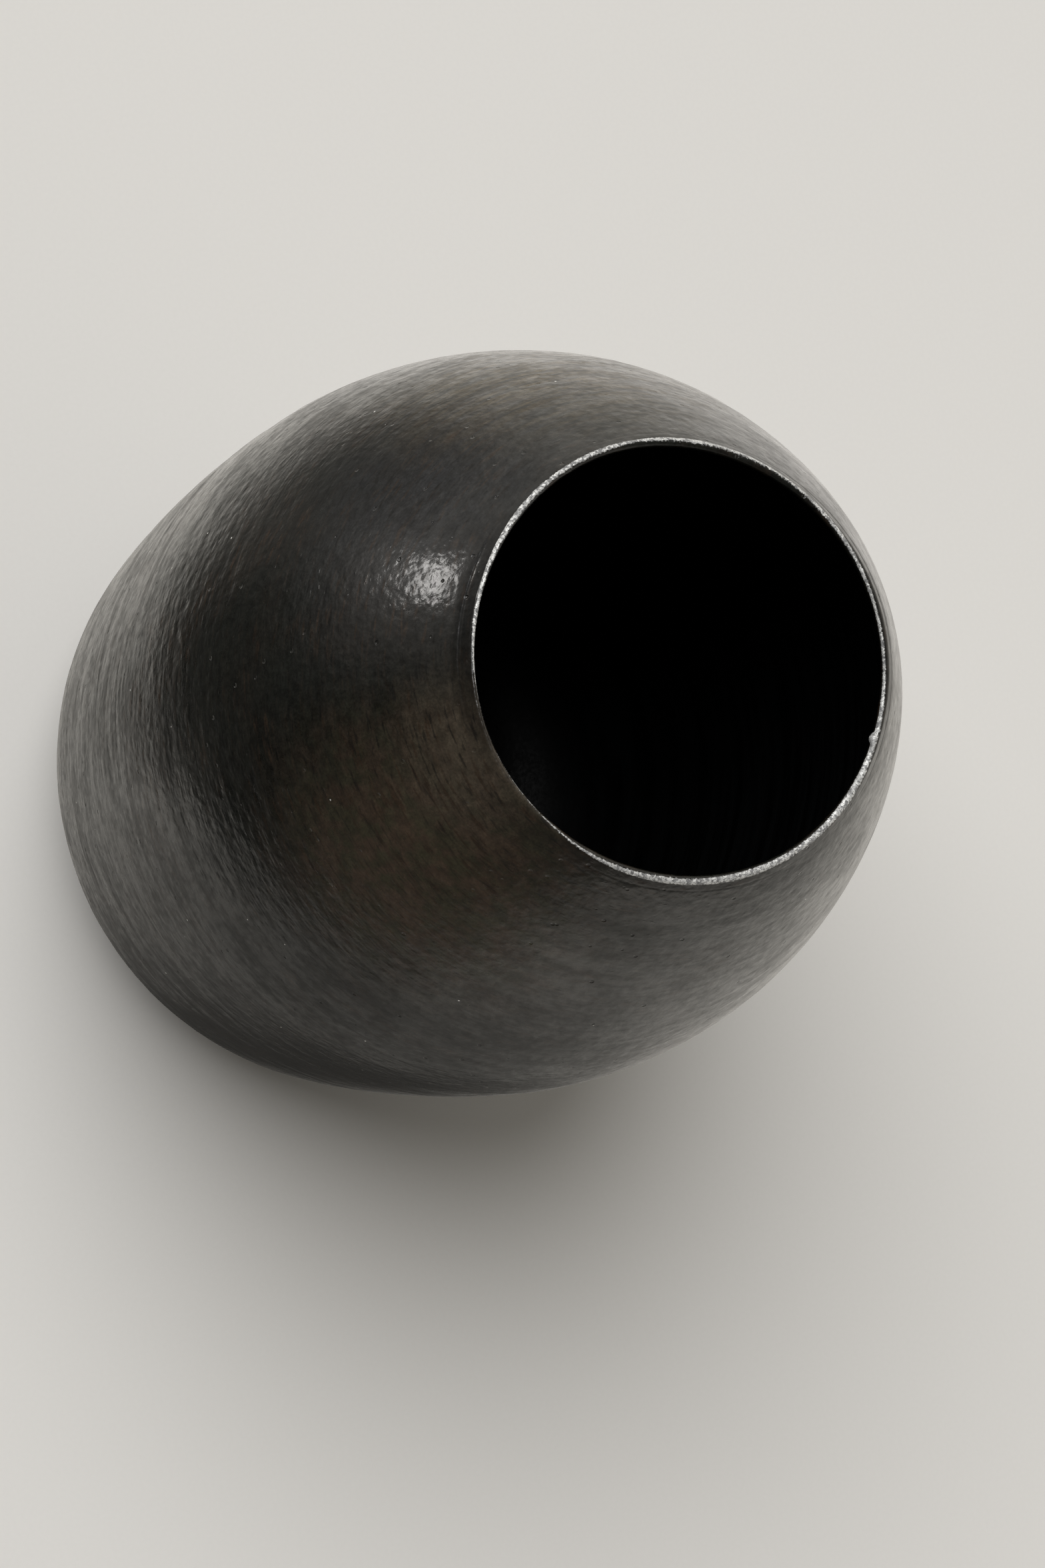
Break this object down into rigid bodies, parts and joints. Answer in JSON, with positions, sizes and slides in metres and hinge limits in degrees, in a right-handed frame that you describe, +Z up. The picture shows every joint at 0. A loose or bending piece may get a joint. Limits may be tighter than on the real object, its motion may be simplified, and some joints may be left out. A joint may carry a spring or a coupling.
{
  "type": "black clay pot",
  "caption": "Tall egg-shaped black clay pot with a flat foot and a wide mouth without a neck, hand built and burnished, to stand on a shelf and hold dry things or stems.",
  "frame": {"origin": "centre of the flat foot, on the surface that the pot stands on", "axes": "+Z up along the axis of the pot, from the foot to the mouth; X and Y are equivalent"},
  "size_m": [0.205, 0.205, 0.28],
  "materials": {
    "burnished_clay": "smoke-fired black clay, burnished to a soft satin with fine turning lines, warm and cool clouds and small pits",
    "worn_rim": "the same black clay rubbed to a silvery graphite grey along the crest of the rim"
  },
  "bodies": {
    "root": {"base_disc": "burnished_clay", "heel_coil": "burnished_clay", "low_flank_coil": "burnished_clay", "high_flank_coil": "burnished_clay", "low_belly_coil": "burnished_clay", "high_belly_coil": "burnished_clay", "low_shoulder_coil": "burnished_clay", "high_shoulder_coil": "burnished_clay", "collar_coil": "burnished_clay", "lip_coil": "worn_rim"}
  },
  "joints": []
}
